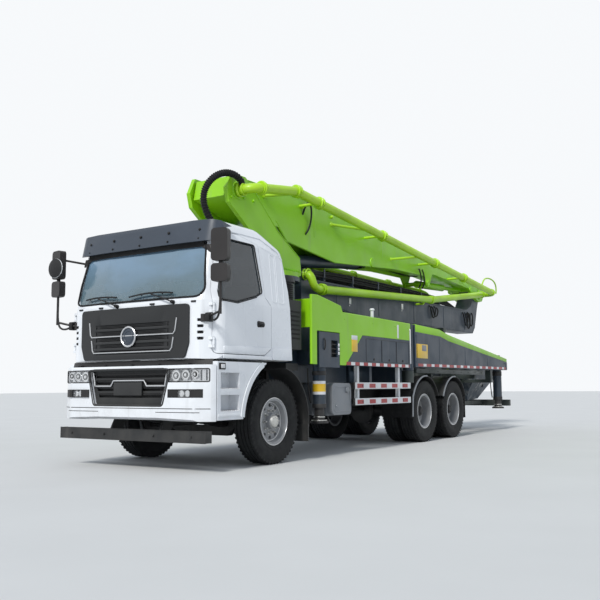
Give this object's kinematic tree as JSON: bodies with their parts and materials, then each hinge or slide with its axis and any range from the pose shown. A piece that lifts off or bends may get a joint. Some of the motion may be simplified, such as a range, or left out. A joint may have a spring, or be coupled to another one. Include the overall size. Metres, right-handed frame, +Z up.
{
  "type": "concrete pump truck",
  "caption": "Lorry with a folding placing boom laid over its back, side panels, swing-out outriggers, a pump and a rear hopper.",
  "frame": {"origin": "centre of the footprint of the overall box, on the ground", "axes": "+Z up, the cab looks towards -Y, the driver's side is +X, X is the width"},
  "size_m": [2.9742, 12, 4.01],
  "materials": {
    "lime_paint": "gloss",
    "slate_paint": "satin",
    "white_paint": "gloss",
    "dark_plastic": "matte",
    "black_paint": "satin",
    "grey_paint": "satin",
    "tyre": "matte",
    "rim_steel": "satin",
    "chrome": "polished",
    "glass": "gloss",
    "lamp_lens": "gloss",
    "white_plastic": "satin",
    "cast": "rough",
    "cabin_trim": "matte"
  },
  "bodies": {
    "chassis": {"frame_rails": "black_paint", "front_axle": "black_paint", "rear_axles": "black_paint", "engine": "cast", "lower_panels": "white_paint", "lower_grille": "dark_plastic", "lamps": "lamp_lens", "intake_stack": "dark_plastic", "mudguards": "dark_plastic", "pedestal": "slate_paint", "side_wings": "lime_paint", "side_boxes": "slate_paint", "tanks": "grey_paint", "side_guards": "white_plastic", "tail_frame": "slate_paint", "pump_unit": "grey_paint", "hopper": "slate_paint"},
    "cab": {"cab_shell": "white_paint", "cab_glass": "glass", "cab_interior": "cabin_trim", "sun_visor": "dark_plastic", "grille": "dark_plastic", "mirrors": "dark_plastic"},
    "hopper_lid": {"hopper_grate": "dark_plastic"},
    "turret": {"turret": "lime_paint"},
    "lift_barrel": {"lift_barrel": "slate_paint"},
    "lift_rod": {"lift_rod": "chrome"},
    "boom_1": {"boom_1": "lime_paint", "pipe_1": "lime_paint"},
    "boom_2": {"boom_2": "slate_paint", "pipe_2": "lime_paint"},
    "boom_3": {"boom_3": "slate_paint"},
    "boom_4": {"boom_4": "slate_paint"},
    "boom_5": {"boom_5": "slate_paint"},
    "door_left": {"door_left": "white_paint", "pane_left": "glass"},
    "knuckle_left": {"knuckle_left": "cast"},
    "front_wheel_left": {"front_tyre_left": "tyre", "front_rim_left": "rim_steel"},
    "rear_wheels_1_left": {"tyres_1_left": "tyre", "rims_1_left": "rim_steel"},
    "rear_wheels_2_left": {"tyres_2_left": "tyre", "rims_2_left": "rim_steel"},
    "front_beam_left": {"front_beam_left": "slate_paint"},
    "front_jack_left": {"front_jack_left": "grey_paint"},
    "rear_arm_left": {"rear_arm_left": "slate_paint"},
    "rear_jack_left": {"rear_jack_left": "grey_paint"},
    "door_right": {"door_right": "white_paint", "pane_right": "glass"},
    "knuckle_right": {"knuckle_right": "cast"},
    "front_wheel_right": {"front_tyre_right": "tyre", "front_rim_right": "rim_steel"},
    "rear_wheels_1_right": {"tyres_1_right": "tyre", "rims_1_right": "rim_steel"},
    "rear_wheels_2_right": {"tyres_2_right": "tyre", "rims_2_right": "rim_steel"},
    "front_beam_right": {"front_beam_right": "slate_paint"},
    "front_jack_right": {"front_jack_right": "grey_paint"},
    "rear_arm_right": {"rear_arm_right": "slate_paint"},
    "rear_jack_right": {"rear_jack_right": "grey_paint"}
  },
  "joints": [
    {"name": "cab_tilt", "type": "hinge", "parent": "chassis", "child": "cab", "pos_m": [0, -5.82, 1], "axis": [1, 0, 0], "range_deg": [0, 50]},
    {"name": "door_left_hinge", "type": "hinge", "parent": "cab", "child": "door_left", "pos_m": [1.172, -5.786, 1.7], "axis": [0, 0, -1], "range_deg": [0, 70]},
    {"name": "steer_left", "type": "hinge", "parent": "chassis", "child": "knuckle_left", "pos_m": [0.82, -4.52, 0.54], "axis": [0, 0, 1], "range_deg": [-38, 38]},
    {"name": "front_wheel_left_spin", "type": "hinge", "parent": "knuckle_left", "child": "front_wheel_left", "pos_m": [1.035, -4.52, 0.54], "axis": [1, 0, 0], "continuous": true},
    {"name": "rear_wheels_1_left_spin", "type": "hinge", "parent": "chassis", "child": "rear_wheels_1_left", "pos_m": [0.92, 0.12, 0.54], "axis": [1, 0, 0], "continuous": true},
    {"name": "rear_wheels_2_left_spin", "type": "hinge", "parent": "chassis", "child": "rear_wheels_2_left", "pos_m": [0.92, 1.47, 0.54], "axis": [1, 0, 0], "continuous": true},
    {"name": "front_beam_left_slide", "type": "slide", "parent": "chassis", "child": "front_beam_left", "axis": [0.9397, -0.342, 0], "range_m": [0, 1.5]},
    {"name": "front_jack_left_slide", "type": "slide", "parent": "front_beam_left", "child": "front_jack_left", "axis": [0, 0, -1], "range_m": [0, 0.6]},
    {"name": "rear_arm_left_swing", "type": "hinge", "parent": "chassis", "child": "rear_arm_left", "pos_m": [1.138, -0.41, 1.7], "axis": [0, 0, -1], "range_deg": [0, 50]},
    {"name": "rear_jack_left_slide", "type": "slide", "parent": "rear_arm_left", "child": "rear_jack_left", "axis": [0, 0, -1], "range_m": [0, 0.6]},
    {"name": "door_right_hinge", "type": "hinge", "parent": "cab", "child": "door_right", "pos_m": [-1.172, -5.786, 1.7], "axis": [0, 0, 1], "range_deg": [0, 70]},
    {"name": "steer_right", "type": "hinge", "parent": "chassis", "child": "knuckle_right", "pos_m": [-0.82, -4.52, 0.54], "axis": [0, 0, 1], "range_deg": [-38, 38]},
    {"name": "front_wheel_right_spin", "type": "hinge", "parent": "knuckle_right", "child": "front_wheel_right", "pos_m": [-1.035, -4.52, 0.54], "axis": [1, 0, 0], "continuous": true},
    {"name": "rear_wheels_1_right_spin", "type": "hinge", "parent": "chassis", "child": "rear_wheels_1_right", "pos_m": [-0.92, 0.12, 0.54], "axis": [1, 0, 0], "continuous": true},
    {"name": "rear_wheels_2_right_spin", "type": "hinge", "parent": "chassis", "child": "rear_wheels_2_right", "pos_m": [-0.92, 1.47, 0.54], "axis": [1, 0, 0], "continuous": true},
    {"name": "front_beam_right_slide", "type": "slide", "parent": "chassis", "child": "front_beam_right", "axis": [-0.9397, -0.342, 0], "range_m": [0, 1.5]},
    {"name": "front_jack_right_slide", "type": "slide", "parent": "front_beam_right", "child": "front_jack_right", "axis": [0, 0, -1], "range_m": [0, 0.6]},
    {"name": "rear_arm_right_swing", "type": "hinge", "parent": "chassis", "child": "rear_arm_right", "pos_m": [-1.138, -0.41, 1.7], "axis": [0, 0, 1], "range_deg": [0, 50]},
    {"name": "rear_jack_right_slide", "type": "slide", "parent": "rear_arm_right", "child": "rear_jack_right", "axis": [0, 0, -1], "range_m": [0, 0.6]},
    {"name": "hopper_lid_hinge", "type": "hinge", "parent": "chassis", "child": "hopper_lid", "pos_m": [0, 4.34, 1.503], "axis": [1, 0, 0], "range_deg": [0, 55]},
    {"name": "turret_slew", "type": "hinge", "parent": "chassis", "child": "turret", "pos_m": [0, -2.99, 2.66], "axis": [0, 0, 1], "range_deg": [-185, 185]},
    {"name": "boom_lift", "type": "hinge", "parent": "turret", "child": "boom_1", "pos_m": [0, -4.27, 3.74], "axis": [1, 0, 0], "range_deg": [0, 89]},
    {"name": "lift_barrel_pivot", "type": "hinge", "parent": "turret", "child": "lift_barrel", "pos_m": [0, -2.93, 2.96], "axis": [1, 0, 0], "range_deg": [0, 93.5]},
    {"name": "lift_rod_slide", "type": "slide", "parent": "lift_barrel", "child": "lift_rod", "axis": [0, 0.994, 0.1093], "range_m": [0, 2.163]},
    {"name": "boom_2_fold", "type": "hinge", "parent": "boom_1", "child": "boom_2", "pos_m": [0, 5.73, 3.23], "axis": [1, 0, 0], "range_deg": [0, 180]},
    {"name": "boom_3_fold", "type": "hinge", "parent": "boom_2", "child": "boom_3", "pos_m": [0, -2.27, 2.79], "axis": [1, 0, 0], "range_deg": [0, 180]},
    {"name": "boom_4_fold", "type": "hinge", "parent": "boom_3", "child": "boom_4", "pos_m": [0, 4.28, 2.92], "axis": [1, 0, 0], "range_deg": [0, 240]},
    {"name": "boom_5_fold", "type": "hinge", "parent": "boom_4", "child": "boom_5", "pos_m": [0, -1.37, 2.91], "axis": [-1, 0, 0], "range_deg": [0, 200]}
  ],
  "couplings": [
    {"joint": "steer_right", "follows": "steer_left", "ratio": 1},
    {"joint": "turret_slew", "follows": "boom_lift", "ratio": 2.0787},
    {"joint": "lift_barrel_pivot", "follows": "boom_lift", "ratio": 1.0432},
    {"joint": "lift_rod_slide", "follows": "boom_lift", "m_per_rad": 1.3893},
    {"joint": "boom_2_fold", "follows": "boom_lift", "ratio": 0.33333},
    {"joint": "boom_3_fold", "follows": "boom_lift", "ratio": 0.3},
    {"joint": "boom_4_fold", "follows": "boom_lift", "ratio": 0.3},
    {"joint": "boom_5_fold", "follows": "boom_lift", "ratio": 0.3}
  ]
}
